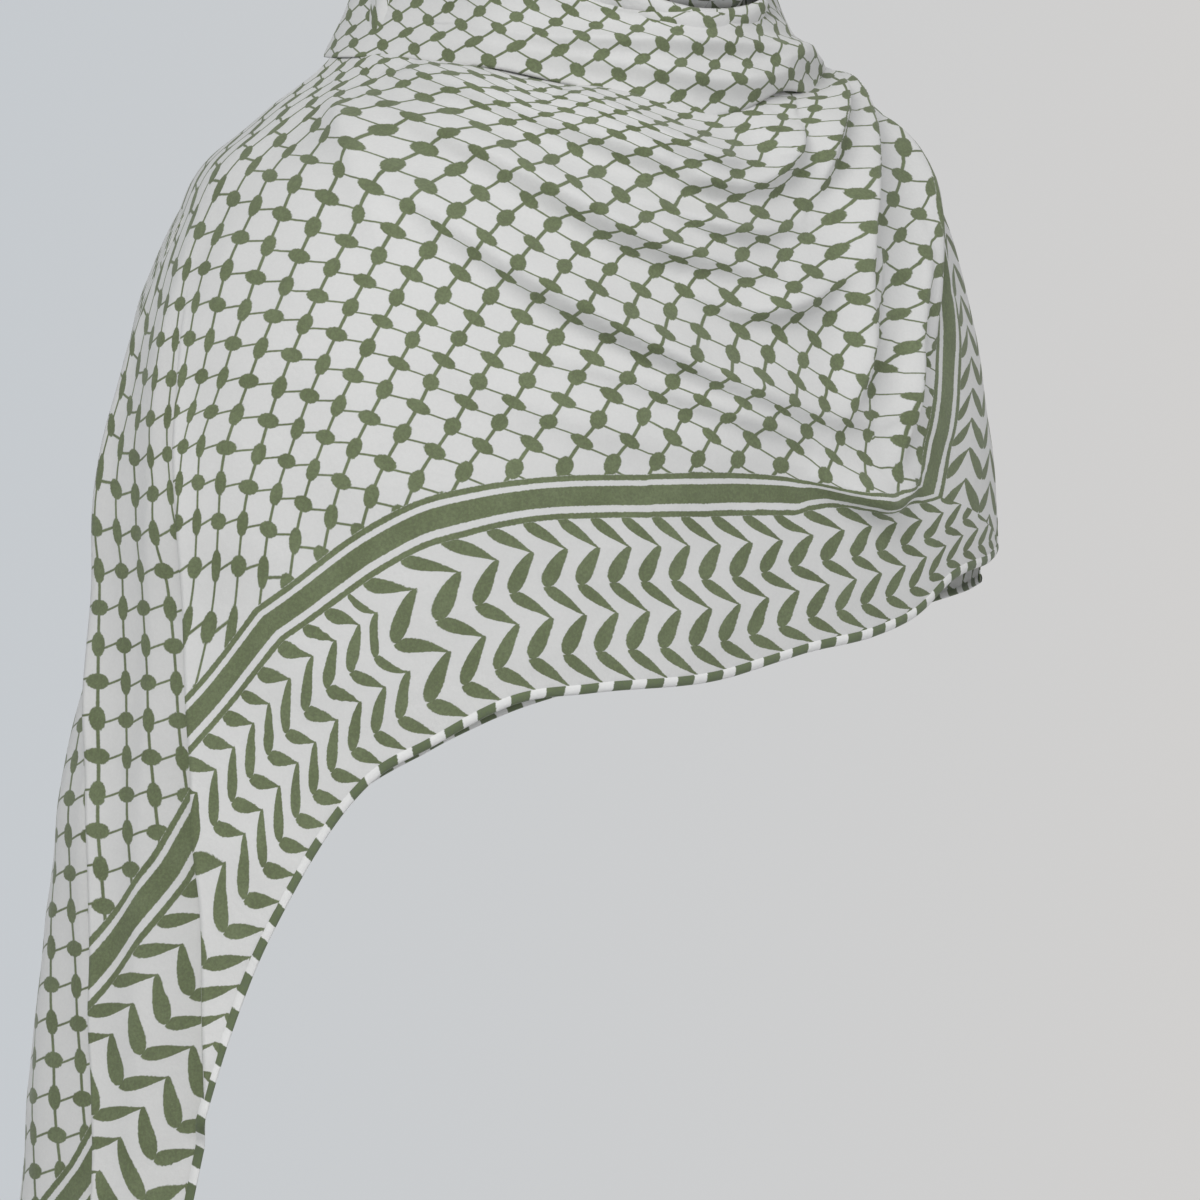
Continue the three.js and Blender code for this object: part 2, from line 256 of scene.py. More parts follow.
def unevenness(points, size, seed):
    # a smooth random height that is the same each run
    rng = np.random.default_rng(seed)
    total = np.zeros(points.shape[:-1])
    for _ in range(14):
        wave = rng.normal(size=3)
        wave /= np.linalg.norm(wave) * size * rng.uniform(0.7, 1.6)
        total += np.sin(points @ wave * 2 * math.pi + rng.uniform(0, 6.28))
    return total / 3.7


def clothPiece(name, points, charts, material, thickness):
    # a thin shell over a grid of points, with its print charts as UV maps
    columns, rows = points.shape[:2]
    index = np.arange(columns * rows).reshape(columns, rows)
    quads = np.stack([index[:-1, :-1], index[:-1, 1:], index[1:, 1:], index[1:, :-1]], -1).reshape(-1, 4)
    mesh = bpy.data.meshes.new(name)
    mesh.from_pydata(points.reshape(-1, 3).tolist(), [], quads.tolist())
    corner = quads.ravel()
    for chart, values in charts.items():
        layer = mesh.uv_layers.new(name=chart)
        layer.data.foreach_set("uv", values.reshape(-1, 2)[corner].astype(np.float32).ravel())
    mesh.polygons.foreach_set("use_smooth", np.ones(len(quads), bool))
    mesh.materials.append(material)
    mesh.update()
    piece = bpy.data.objects.new(name, mesh)
    bpy.context.scene.collection.objects.link(piece)
    shell = piece.modifiers.new("cloth thickness", "SOLIDIFY")
    shell.thickness = thickness
    shell.offset = -1
    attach(piece, "root")
    return piece


# charts: where each point of the cloth lies in the flat print
azList = np.arange(-306, 74, 0.5)
hemLevels = hemLevel(azList)
hemHeight = formPoint(azList, hemLevels)[:, 2]
hemRun = -runAlong(azList, hemLevels)
hemRun -= np.interp(53, azList, hemRun)  # length along the lower hem, from the free corner on
ringRun = runAlong(azList, hemLevels * 0 + 10.5)
hemSlope = np.gradient(hemHeight, ringRun)
hemSlope = np.convolve(np.pad(hemSlope, 12, "edge"), np.ones(25) / 25, "valid")
bandHeight = hemHeight + 0.108 * np.sqrt(1 + hemSlope**2)
placed = formPoint(azList, smoothRead(bandAbove, np.maximum(azList, -114)))[:, 2]
share = smoothStep(azList, -118, -106)
bandHeight = share * placed + (1 - share) * bandHeight
bandLevels = levelAtHeight(azList, bandHeight)
# how far the threads lean from upright, to the right arm in front and away from it behind
lean = np.array([
    (70, 0), (30, 0.05), (10, 0.25), (-10, 0.38), (-38, 0.45), (-50, 0.75), (-62, 1.45), (-98, 1.45),
    (-110, 0.2), (-120, -0.9), (-150, -0.8), (-180, -0.4), (-220, -0.15), (-310, 0),
])

# knots of the net: azimuth and level, worked out from places read off or chosen to carry the rows on,
# then their count along the band and above it
knots = np.array([
    (17.5, 9.95, 1, 0), (4.5, 10.0, 3, 0), (-8, 9.97, 5, 0), (-18, 9.97, 7, 0), (-28.5, 9.98, 9, 0),
    (-39.5, 9.99, 11, 0), (-59, 10.42, 15, 0), (-63, 10.6, 16, 0), (20, 9.56, 0, 1), (8.5, 9.73, 2, 1),
    (-41, 9.69, 11, 1), (-52.5, 9.84, 13, 1), (15, 9.38, 0, 2), (-16, 9.38, 6, 2), (-33, 9.37, 9, 2),
    (-44, 9.38, 11, 2), (-65.5, 9.88, 15, 2), (-71, 10.07, 16, 2), (-24, 9.05, 7, 3), (-30, 9.06, 8, 3),
    (-58, 9.26, 13, 3), (-75.5, 9.84, 16, 3), (4, 8.8, 2, 4), (-9.5, 8.76, 4, 4), (-21, 8.75, 6, 4),
    (-38.5, 8.73, 9, 4), (-50, 8.73, 11, 4), (-74, 9.38, 15, 4), (3, 8.46, 2, 5), (-10.5, 8.45, 4, 5),
    (-23.5, 8.4, 6, 5), (-35.5, 8.4, 8, 5), (-67, 8.69, 13, 5), (-32, 8.01, 7, 6), (-59.5, 8.09, 11, 6),
    (-85.5, 8.87, 15, 6), (-12.5, 7.87, 4, 7), (-26.5, 7.77, 6, 7), (-81.5, 8.11, 13, 7),
    (-20, 7.28, 5, 8), (-4, 7.41, 3, 8), (-35.5, 7.08, 7, 8), (-43.5, 6.9, 8, 8), (-79.5, 7.18, 11, 8),
    (-86.5, 10.13, 18.5, 4.5), (-93.5, 10.36, 19.5, 4.5), (-94.5, 9.91, 18.5, 5.5),
    (-91.5, 9.15, 16.5, 6.5), (-97.5, 8.64, 15.5, 7.5), (28.5, 8.58, -1.5, 4.5), (24.5, 8.2, -0.5, 5.5),
    (27.5, 7.8, -0.5, 6.5), (50, 8.4, -4, 5), (40, 6.6, -1.5, 8.6), (60, 6.2, -3.4, 9.2),
    (20, 6, 0.3, 10.3), (-20, 5.7, 3.8, 12), (0, 5.9, 2.1, 11.2), (-50, 5.6, 7.6, 11.8),
    (-90, 6, 11.2, 10.3), (-110, 12.4, 26, 1), (-104, 11.2, 22.5, 3.5), (-122, 9.8, 23, 7),
    (-84, 12.2, 20.5, 0.3),
])


def chartThrough(places, values, at):
    # a smooth chart through the given places, the thin-plate way
    scale = np.array([0.0034, 0.07])

    def bend(distance):
        return distance**2 * np.log(distance + 1e-9)

    a = places * scale
    apart = np.linalg.norm(a[:, None] - a[None], axis=2)
    n = len(a)
    system = np.zeros((n + 3, n + 3))
    system[:n, :n] = bend(apart) + 2e-5 * np.eye(n)
    system[:n, n] = 1
    system[n, :n] = 1
    system[:n, n + 1:] = a
    system[n + 1:, :n] = a.T
    weights = np.linalg.solve(system, np.vstack([values, np.zeros((3, values.shape[1]))]))
    b = at.reshape(-1, 2) * scale
    result = np.zeros((len(b), values.shape[1]))
    for k in range(n):
        result += bend(np.linalg.norm(b - a[k], axis=1))[:, None] * weights[k]
    result += weights[n] + b @ weights[n + 1:]
    return result.reshape(at.shape[:-1] + (values.shape[1],))


knotStep = 0.0215  # the net repeats at this distance, in metres of cloth
bandInner = 0.108  # the band's inner line lies this far in from the cloth's edge


def hemChart(az, level):
    hem, band = np.interp(az, azList, hemLevels), np.interp(az, azList, bandLevels)
    far = bandInner * (hem - level) / np.maximum(hem - band, 0.05)
    run = np.interp(az, azList, hemRun) - np.clip(far, 0, 0.13) * smoothRead(lean, az)
    return np.stack([run, far], -1)


def sideChart(az, level):
    edge = smoothRead(shortHem, level)
    band = smoothRead(bandBeside, level)
    far = bandInner * (edge - az) / np.maximum(edge - band, 1)
    ladder = np.linspace(2, 11, 200)
    run = runAlong(smoothRead(shortHem, ladder), ladder)
    return np.stack([np.interp(10.43, ladder, run) - np.interp(level, ladder, run), far], -1)


def netBehind(az, level):
    # behind, the net is counted from the hem along threads that lean a little
    height = formPoint(az, level)[..., 2]
    slope = -np.interp(az, azList, hemSlope)
    turn = 0.5 * np.clip((az + 260) / 140, 0, 1)
    up = height - np.interp(az, azList, hemHeight)
    v = up / (np.cos(turn) + np.clip(slope, 0, 2) * np.sin(turn))
    u = np.interp(az, azList, hemRun) + np.sqrt(1 + slope**2) * v * np.sin(turn)
    return np.stack([(u - bandInner) / knotStep, (v - bandInner) / knotStep], -1)


noBorder = np.array([0.0, 1.0])  # a chart that puts the border out of reach

# the drape over the arm hangs nearly upright, so its print is laid out on the way round and the height
frontPleat = np.array([
    (8.6, -90), (9.2, -85), (9.77, -81), (10.28, -77.5), (10.77, -75.5), (11.24, -73), (11.69, -70),
    (12.1, -68), (12.39, -66), (12.85, -64.5), (13.3, -63), (13.6, -62.5), (15, -60),
])
sidePleat = np.array([
    (8.6, -112), (9.4, -108), (10.29, -104), (10.77, -102.5), (11.24, -99.5), (11.69, -95.5),
    (12.1, -92), (12.49, -89.5), (12.85, -87.5), (13.21, -85), (13.47, -83.5), (13.72, -82.5), (15, -79),
])
armMiddle = (-0.12, 0.0)


def turnOnArm(spot):
    return np.arctan2(-spot[..., 1] + armMiddle[1], spot[..., 0] - armMiddle[0]) % (2 * math.pi)


armRound = formPoint(np.arange(-20, -150, -0.5), 11.5)
armTurn = turnOnArm(armRound)
armRun = runOf(armRound[:, :2])


def onArm(az, level):
    # the way round the arm and the height, both in metres
    spot = formPoint(az, level)
    return np.stack([np.interp(turnOnArm(spot), armTurn, armRun), spot[..., 2]], -1)


def nearestOn(line, spots):
    # distance to a line of points and how far along it the nearest one is
    flat = spots.reshape(-1, 2)
    best, along = np.full(len(flat), 1e9), np.zeros(len(flat))
    run = runOf(line)
    for k in range(len(line) - 1):
        step = line[k + 1] - line[k]
        f = np.clip((flat - line[k]) @ step / (step @ step), 0, 1)
        apart = np.linalg.norm(flat - line[k] - f[:, None] * step, axis=1)
        closer = apart < best
        best[closer] = apart[closer]
        along[closer] = (run[k] + f * (run[k + 1] - run[k]))[closer]
    return best.reshape(spots.shape[:-1]), along.reshape(spots.shape[:-1])


def pastPleats(az, level):
    # how far each place is past the front pleat and past the side pleat, from 0 to 1
    front = smoothStep(smoothRead(frontPleat, level) - az, 0, wallTurn)
    side = smoothStep(smoothRead(sidePleat, level) - az, 0, wallTurn)
    ready = smoothStep(level, 8.9, 9.9)
    return front * ready, side * ready


wallTurn = 0.8  # a pleat's hidden side, in degrees
# the band's inner line between the pleats and behind them: way round the arm, and height
drapeBands = dict(
    between=((0.1700, -0.536), (0.2039, -0.587), (0.2233, -0.624), (0.2497, -0.661), (0.3100, -0.748)),
    behind=((0.1900, -0.674), (0.2407, -0.737), (0.2570, -0.765), (0.2765, -0.788), (0.3300, -0.852)),
)


def armBorder(az, level):
    spots = onArm(az, level)
    some = np.arange(-30, -100, -0.2)
    hemLine = onArm(some, hemLevel(some))
    some = np.arange(-30, -65, -1.0)
    bandLine = onArm(some, smoothRead(bandAbove, some))
    further = np.linspace(0, 1, 30)[1:, None] * (0.06, -0.084)
    bandLine = np.vstack([bandLine, bandLine[-1] + further])
    toHem, hemAlong = nearestOn(hemLine, spots)
    toBand = nearestOn(bandLine, spots)[0]
    # each place on the band goes with the nearest place on the hem
    foot, bandRun = nearestOn(hemLine, bandLine)[1], runOf(bandLine)
    bandAlong = np.interp(hemAlong, foot[::9], bandRun[::9])
    inside = spots[..., 1] > np.interp(spots[..., 0], bandLine[:, 0], bandLine[:, 1])
    far = np.where(inside, bandInner + toBand, bandInner * toHem / (toHem + toBand + 1e-9))
    hemStart = np.interp(-30, azList, hemRun)
    share = np.clip(far / bandInner, 0, 1)
    run = hemStart + hemAlong * (1 - share) + (bandAlong - bandInner * 0.44) * share
    run = run + 0.3 * np.maximum(run - 0.40, 0)  # the bias lies closer here
    layers = [np.stack([run, far], -1)]
    for line, offset in ((drapeBands["between"], 0.29), (drapeBands["behind"], 0.41)):
        line = np.array(line)
        apart, along = nearestOn(line, spots)
        over = np.where(spots[..., 1] > np.interp(spots[..., 0], line[:, 0], line[:, 1]), 1, -1)
        far = bandInner + over * apart
        low = smoothStep(-toHem, -0.06, -0.015)
        layers.append(np.stack([along + offset, far * (1 - low) + np.maximum(far, toHem) * low], -1))
    return layers


def armNet(az, level):
    # columns upright and rows level, each row half a repeat apart
    spots = onArm(az, level)
    column = (spots[..., 0] - 0.2505 - 0.205 * (spots[..., 1] + 0.545)) / 0.0162
    row = (-0.545 - spots[..., 1]) / 0.01715
    layers = []
    for columnShift, rowShift in ((0, 0), (1.49, -0.14)):
        layers.append(np.stack([(column + columnShift + row + rowShift) / 2 + 22,
                                (column + columnShift - row - rowShift) / 2 + 3], -1))
    return layers


def withPleats(az, level, first, between, behind):
    # the chart in front, then what shows between and behind the pleats
    front, side = pastPleats(az, level)
    front, side = front[..., None], side[..., None]
    return (first * (1 - front) + between * front) * (1 - side) + behind * side


def frontBorder(az, level):
    front, between, behind = armBorder(az, level)
    blend = smoothStep(-az, 38, 48)[..., None]
    return withPleats(az, level, hemChart(az, level) * (1 - blend) + front * blend, between, behind)


def frontNet(az, level):
    chart = chartThrough(knots[:, :2], knots[:, 2:], np.stack([az, level], -1))
    between, behind = armNet(az, level)
    hanging = smoothStep(level, 9.7, 10.7)[..., None]
    return withPleats(az, level, chart, chart * (1 - hanging) + between * hanging,
                      chart * (1 - hanging) + behind * hanging)


class Field:
    # a number that varies over the cloth; sums and products of fields make Math nodes
    def __init__(self, tree, socket):
        self.tree, self.socket = tree, socket

    def math(self, operation, *others):
        node = self.tree.nodes.new("ShaderNodeMath")
        node.operation = operation
        for slot, value in zip(node.inputs, (self, *others)):
            if isinstance(value, Field):
                self.tree.links.new(value.socket, slot)
            else:
                slot.default_value = value
        return Field(self.tree, node.outputs[0])

    def __add__(self, other):
        return self.math("ADD", other)

    def __sub__(self, other):
        return self.math("SUBTRACT", other)

    def __mul__(self, other):
        return self.math("MULTIPLY", other)

    def __truediv__(self, other):
        return self.math("DIVIDE", other)

    def least(self, other):
        return self.math("MINIMUM", other)

    def most(self, other):
        return self.math("MAXIMUM", other)

    def size(self):
        return self.math("ABSOLUTE")

    def wrapped(self, period):
        # the distance from the nearest multiple of the period, from minus to plus half of it
        return self - (self / period).math("ROUND") * period

    def within(self, soft):
        # 1 where the field is above zero, with a soft edge
        return (self / soft + 0.5).held()

    def held(self):
        # kept between 0 and 1
        return self.math("MINIMUM", 1.0).math("MAXIMUM", 0.0)

    def switch(self, low, high):
        # low where this field is 0 and high where it is 1
        return (high - low) * self + low


def chartFields(tree, name):
    chart = tree.nodes.new("ShaderNodeUVMap")
    chart.uv_map = name
    split = tree.nodes.new("ShaderNodeSeparateXYZ")
    tree.links.new(chart.outputs[0], split.inputs[0])
    return Field(tree, split.outputs[0]), Field(tree, split.outputs[1])


def noiseField(tree, scale, detail=2.0, roughness=0.5):
    place = tree.nodes.new("ShaderNodeTexCoord")
    node = tree.nodes.new("ShaderNodeTexNoise")
    tree.links.new(place.outputs["Object"], node.inputs["Vector"])
    node.inputs["Scale"].default_value = scale
    node.inputs["Detail"].default_value = detail
    node.inputs["Roughness"].default_value = roughness
    return Field(tree, node.outputs["Fac"])


def outline(field, points):
    # half the width of a leaf along its length, as a curve
    node = field.tree.nodes.new("ShaderNodeFloatCurve")
    curve = node.mapping.curves[0]
    for k, (x, y) in enumerate(points):
        if k < 2:
            curve.points[k].location = (x, y)
        else:
            curve.points.new(x, y)
    node.mapping.update()
    field.tree.links.new(field.socket, node.inputs["Value"])
    return Field(field.tree, node.outputs[0])


# the print, in millimetres of flat cloth
printed = dict(
    bandOuter=85.0,      # from the cloth's edge to the band
    stripes=(3.0, 3.5, 10.2, 2.9, 3.0),  # thin green, white, broad green, white, thin green
    leafColumn=17.2,     # between columns of leaves
    leafReach=(15.0, 18.0),  # how far the first and the second leaf reach outward
    leafSide=14.0,       # how far a leaf runs sideways
    leafBow=1.6,
    firstLeaf=((0, 0.3), (0.15, 0.46), (0.4, 0.53), (0.65, 0.4), (0.85, 0.2), (1, 0.08)),
    secondLeaf=((0, 0.14), (0.12, 0.36), (0.4, 0.56), (0.7, 0.62), (0.9, 0.44), (1, 0.16)),
    leafUnit=6.0,        # the outlines above are shares of this
    net=21.5,            # the net's repeat
    knotLong=5.1,
    knotWide=3.35,
    thickCord=0.75,      # half the width of the cords
    thinCord=0.48,
    cordSlant=0.3,       # the thin cords run a little across the row of knots
    inkEdge=0.35,
    bleed=0.9,           # how unevenly the ink runs into the crepe
)


def printMask(tree):
    p = printed
    ragged = (noiseField(tree, 900, 2) - 0.5) * p["bleed"]
    run, far = chartFields(tree, "hemChart")
    sideRun, sideFar = chartFields(tree, "sideChart")
    i, j = chartFields(tree, "netChart")
    far, sideFar = far * 1000, sideFar * 1000
    beside = (far - sideFar).within(0.01)
    along = beside.switch(run * -1000, sideRun * 1000)
    edge = far.least(sideFar)

    # the band of stripes
    thin, gap, broad, innerGap, last = p["stripes"]
    start = p["bandOuter"]
    band = (edge - start + ragged).within(p["inkEdge"])
    whole = thin + gap + broad + innerGap + last
    band = band * (edge * -1 + (start + whole) + ragged).within(p["inkEdge"])
    for low, width in ((thin, gap), (thin + gap + broad, innerGap)):
        middle = start + low + width / 2
        white = ((edge - middle).size() * -1 + width / 2 - ragged).within(p["inkEdge"])
        band = band * (white * -1 + 1)

    # two leaves in turn from the band out to the edge, each leaning the other way
    outwards = edge * -1 + start
    firstReach, secondReach = p["leafReach"]
    pair = firstReach + secondReach
    step = outwards - (outwards / pair).math("FLOOR") * pair
    leaves = None
    for reach, begin, side, points, slope in (
            (firstReach, 0, (0, 1), p["firstLeaf"], 0.73),
            (secondReach, firstReach, (1, 0), p["secondLeaf"], 0.79)):
        share = (step - begin) / reach
        inside = share.size().math("COMPARE", 0.5, 0.5) * (share * -1 + 1).within(0.001)
        inside = inside * share.within(0.001)
        middle = share * ((side[1] - side[0]) * p["leafSide"]) + side[0] * p["leafSide"]
        middle = middle - (share * math.pi).math("SINE") * p["leafBow"]
        apart = (along - middle).wrapped(p["leafColumn"]).size() * slope
        leaf = (outline(share, points) * p["leafUnit"] - apart + ragged).within(p["inkEdge"]) * inside
        leaves = leaf if leaves is None else leaves.most(leaf)
    leaves = leaves * outwards.within(0.1)

    # the net: knots at the crossings of two families of cords, turned in alternate ways
    net = None
    for offset, turned in ((0.0, 1), (0.5, -1)):
        x = (i - offset).wrapped(1.0) * (p["net"] * -1)
        y = (j - offset).wrapped(1.0) * p["net"]
        long = (x + y * turned) / (2**0.5 * p["knotLong"])
        wide = (x - y * turned) / (2**0.5 * p["knotWide"])
        apart = (long * long + wide * wide).math("SQRT")
        knot = ((apart * -1 + 1) * p["knotWide"] + ragged).within(p["inkEdge"])
        net = knot if net is None else net.most(knot)
    slant = (i + j - 0.5).wrapped(1.0) * p["cordSlant"]
    for line, half in (((i + j).wrapped(1.0), p["thickCord"]),
                       ((i - j - slant).wrapped(1.0), p["thinCord"])):
        cord = (line.size() * (-p["net"] / 2**0.5) + half + ragged * 0.3).within(p["inkEdge"])
        net = net.most(cord)
    net = net * (edge - (start + whole) + ragged).within(p["inkEdge"])
    return band.most(leaves).most(net)


voile = dict(
    white=(0.80, 0.795, 0.785, 1),
    green=(0.113, 0.142, 0.054, 1),
    paleGreen=(0.235, 0.285, 0.15, 1),
    roughness=0.86,
    sheen=0.25,
    sheenRoughness=0.5,
    glow=0.28,          # share of light that passes through the cloth
    specular=0.2,
    crepe=0.35,         # strength of the crepe grain
    crepeDepth=0.0003,
    rumple=0.5,
    rumpleDepth=0.0016,
)


def makeCloth(name, look):
    material = bpy.data.materials.new(name)
    material.use_nodes = True
    tree = material.node_tree
    tree.nodes.clear()
    ink = printMask(tree)
    speck = noiseField(tree, 750, 3, 0.7)
    patch = noiseField(tree, 55, 3)
    fade = ((speck - 0.5) * 2.6 + (patch - 0.5) * 0.8 + 0.34).held()

    def blendColours(factor, one, other):
        node = tree.nodes.new("ShaderNodeMix")
        node.data_type = "RGBA"
        tree.links.new(factor.socket, node.inputs[0])
        for slot, value in ((node.inputs[6], one), (node.inputs[7], other)):
            if isinstance(value, tuple):
                slot.default_value = value
            else:
                tree.links.new(value, slot)
        return node.outputs[2]

    greenInk = blendColours(fade, look["green"], look["paleGreen"])
    dusty = tuple(0.93 * c for c in look["white"][:3]) + (1,)
    ground = blendColours(((speck - 0.5) * 1.6 + 0.5).held(), dusty, look["white"])
    colour = blendColours(ink * (speck * 0.22 + 0.84).math("MINIMUM", 1.0), ground, greenInk)

    grain = noiseField(tree, 1100, 3, 0.65)
    rumple = noiseField(tree, 70, 3, 0.55)
    fineBump = tree.nodes.new("ShaderNodeBump")
    fineBump.inputs["Strength"].default_value = look["crepe"]
    fineBump.inputs["Distance"].default_value = look["crepeDepth"]
    tree.links.new(grain.socket, fineBump.inputs["Height"])
    softBump = tree.nodes.new("ShaderNodeBump")
    softBump.inputs["Strength"].default_value = look["rumple"]
    softBump.inputs["Distance"].default_value = look["rumpleDepth"]
    tree.links.new(rumple.socket, softBump.inputs["Height"])
    tree.links.new(softBump.outputs[0], fineBump.inputs["Normal"])

    shader = tree.nodes.new("ShaderNodeBsdfPrincipled")
    shader.inputs["Roughness"].default_value = look["roughness"]
    shader.inputs["Sheen Weight"].default_value = look["sheen"]
    shader.inputs["Sheen Roughness"].default_value = look["sheenRoughness"]
    shader.inputs["Specular IOR Level"].default_value = look["specular"]
    glow = tree.nodes.new("ShaderNodeBsdfTranslucent")
    for node, slot in ((shader, "Base Color"), (glow, "Color")):
        tree.links.new(colour, node.inputs[slot])
        tree.links.new(fineBump.outputs[0], node.inputs["Normal"])
    mix = tree.nodes.new("ShaderNodeMixShader")
    mix.inputs[0].default_value = look["glow"]
    output = tree.nodes.new("ShaderNodeOutputMaterial")
    tree.links.new(shader.outputs[0], mix.inputs[1])
    tree.links.new(glow.outputs[0], mix.inputs[2])
    tree.links.new(mix.outputs[0], output.inputs["Surface"])
    return material


# the roll is several layers thick, so its ink looks darker and less light comes through
rolled = dict(voile, green=(0.075, 0.105, 0.04, 1), paleGreen=(0.15, 0.19, 0.09, 1), glow=0.12)

voileCloth = makeCloth("printedVoile", voile)
hemCloth = makeCloth("rolledHem", rolled)
report("cloth materials made")

# the front: chest, right arm and the crossing end over the left shoulder
chestDrape = dict(
    columns=(236, 3, 40, 3, 34),  # to the front pleat, its wall, to the side pleat, its wall, to the end
    rows=148,
    topLevel=4.9,
    leftEdge=((4, -112), (7, -118), (10, -126), (13, -128), (15, -128)),  # level and azimuth
    unevenness=0.0007,
    seed=3,
    thickness=0.0005,
    folds=[
        # each: path as azimuth and level, then width, height and lean
        ([(-84, 5.9), (-60, 6.1), (-38, 6.5), (-18, 7.0), (-4, 7.5)], 0.008, 0.009, -0.6),
        ([(-74, 6.55), (-54, 6.95), (-36, 7.5), (-20, 8.05), (-7, 8.25), (4, 8.35)], 0.0075, 0.010, -0.62),
        ([(-58, 7.7), (-46, 8.05), (-34, 8.5), (-22, 8.93), (-10, 9.3), (4, 9.55), (16, 9.6)],
         0.0075, 0.010, -0.62),
        ([(-42, 5.8), (-28, 6.3), (-12, 6.9), (4, 6.9)], 0.008, 0.009, -0.55),
        ([(-16, 7.25), (-2, 7.3), (8, 6.95), (16, 6.1)], 0.007, 0.010, -0.6),
        ([(-14, 8.5), (-4, 8.7), (6, 8.6), (15, 8.3)], 0.006, 0.007, -0.55),
        ([(-24, 7.5), (-14, 7.75), (-4, 7.9), (8, 7.8)], 0.006, 0.007, -0.55),
        ([(-30, 9.1), (-18, 9.35), (-6, 9.6), (6, 9.8)], 0.006, 0.005, -0.5),
        ([(-50, 9.0), (-34, 9.45), (-18, 9.75), (2, 9.9)], 0.012, 0.003, -0.3),
        ([(-96, 6.4), (-80, 6.9), (-64, 7.6), (-52, 8.4)], 0.012, 0.005, -0.4),
        ([(2, 9.98), (9, 10.12), (16, 10.2), (22, 10.02)], 0.006, 0.009, -0.5),
        ([(62, 4.9), (52, 6.2), (45, 7.4), (40, 8.6)], 0.008, 0.005, 0.4),
        ([(60, 5.1), (46, 6.0), (31, 6.8), (20, 7.9), (15, 9.0)], 0.007, 0.010, 0.55),
        ([(56, 4.9), (38, 5.7), (22, 6.5), (12, 7.4)], 0.007, 0.010, 0.55),
        ([(52, 6.3), (44, 7.3), (35, 8.3), (28, 9.2)], 0.007, 0.007, 0.5),
        ([(34, 8.0), (27, 8.8), (22, 9.5), (17, 10.0)], 0.006, 0.007, 0.5),
        ([(24, 7.9), (19, 8.6), (14, 9.2), (9, 9.6)], 0.006, 0.006, 0.5),
        ([(-98, 8.0), (-91, 9.2), (-85, 10.6), (-80, 12.0), (-74, 13.8)], 0.010, 0.003, 0),
        ([(-110, 8.6), (-105, 9.8), (-101, 10.8), (-96, 12.2), (-92, 13.6)], 0.008, 0.003, 0),
    ],
)


def clothGrid(d, az, level, lift):
    # the form's points moved out by the lift, the creases and a little unevenness
    plain = formPoint(az, level)
    normal = outward(az, level)
    height, shift = foldHeight(plain, d["folds"])
    height = lift + height + d["unevenness"] * unevenness(plain, 0.05, d["seed"])
    return plain + normal * height[..., None], normal, shift


def makeChestDrape():
    d = chestDrape
    t = np.linspace(0, 1, d["rows"])[None, :]
    first = np.linspace(50, -126, sum(d["columns"]) + 1)
    level = hemLevel(first)[:, None] * (1 - t) + d["topLevel"] * t
    for _ in range(7):
        front, side = smoothRead(frontPleat, level), smoothRead(sidePleat, level)
        marks = [smoothRead(shortHem, level), front, front - wallTurn, side, side - wallTurn,
                 smoothRead(np.array(d["leftEdge"], float), level)]
        az = np.empty_like(level)
        start = 0
        for count, one, other in zip(d["columns"], marks[:-1], marks[1:]):
            share = np.linspace(0, 1, count + 1)[:, None]
            span = slice(start, start + count + 1)
            az[span] = one[span] * (1 - share) + other[span] * share
            start += count
        level = hemLevel(az[:, 0])[:, None] * (1 - t) + d["topLevel"] * t
    below = smoothStep(level, 10.8, 12)
    lift = smoothStep(-az, 92, 108) * (0.006 * below - 0.005 * (1 - below) * smoothStep(level, 7.5, 8.6))
    lift = lift - 0.004 * (1 - smoothStep(level, 5.1, 5.7))
    ready = smoothStep(level, 8.7, 10.2)
    for pleat, depth, spread in ((frontPleat, 0.010, 9), (sidePleat, 0.007, 6)):
        past = az - smoothRead(pleat, level)
        ledge = np.exp(-np.maximum(past, 0) / spread) * smoothStep(past, -wallTurn, 0)
        lift = lift + depth * ready * ledge
    points, normal, shift = clothGrid(d, az, level, lift)
    az, level = shiftedPlace(az, level, shift)
    charts = dict(hemChart=frontBorder(az, level), sideChart=sideChart(az, level),
                  netChart=frontNet(az, level))
    piece = clothPiece("chestDrape", points, charts, voileCloth, d["thickness"])
    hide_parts("chest_panel", "arm_drape", "shoulder_tail")
    return piece, (points, normal, charts)


chestPiece, chestCloth = makeChestDrape()
report("chest drape made")

backDrape = dict(
    columns=250,
    rows=130,
    topLevel=4.9,
    fromAz=-108,
    toAz=-300,
    unevenness=0.0008,
    seed=5,
    thickness=0.0005,
    folds=[
        ([(-150, 7.0), (-147, 8.8), (-143, 10.4), (-138, 12.0)], 0.014, 0.007, 0.2),
        ([(-166, 6.6), (-164, 8.4), (-160, 10.0), (-156, 11.6)], 0.017, 0.009, -0.1),
        ([(-182, 6.4), (-182, 8.0), (-180, 9.6), (-178, 11.0)], 0.016, 0.008, 0.1),
        ([(-200, 6.8), (-198, 8.4), (-195, 9.8), (-192, 11.2)], 0.020, 0.009, -0.2),
        ([(-222, 6.2), (-220, 7.8), (-217, 9.4), (-214, 10.8)], 0.017, 0.008, 0.1),
        ([(-244, 6.8), (-243, 8.2), (-240, 9.4), (-236, 10.6)], 0.018, 0.008, 0.2),
        ([(-268, 6.4), (-266, 7.8), (-262, 9.0), (-258, 10.2)], 0.016, 0.007, -0.1),
    ],
)


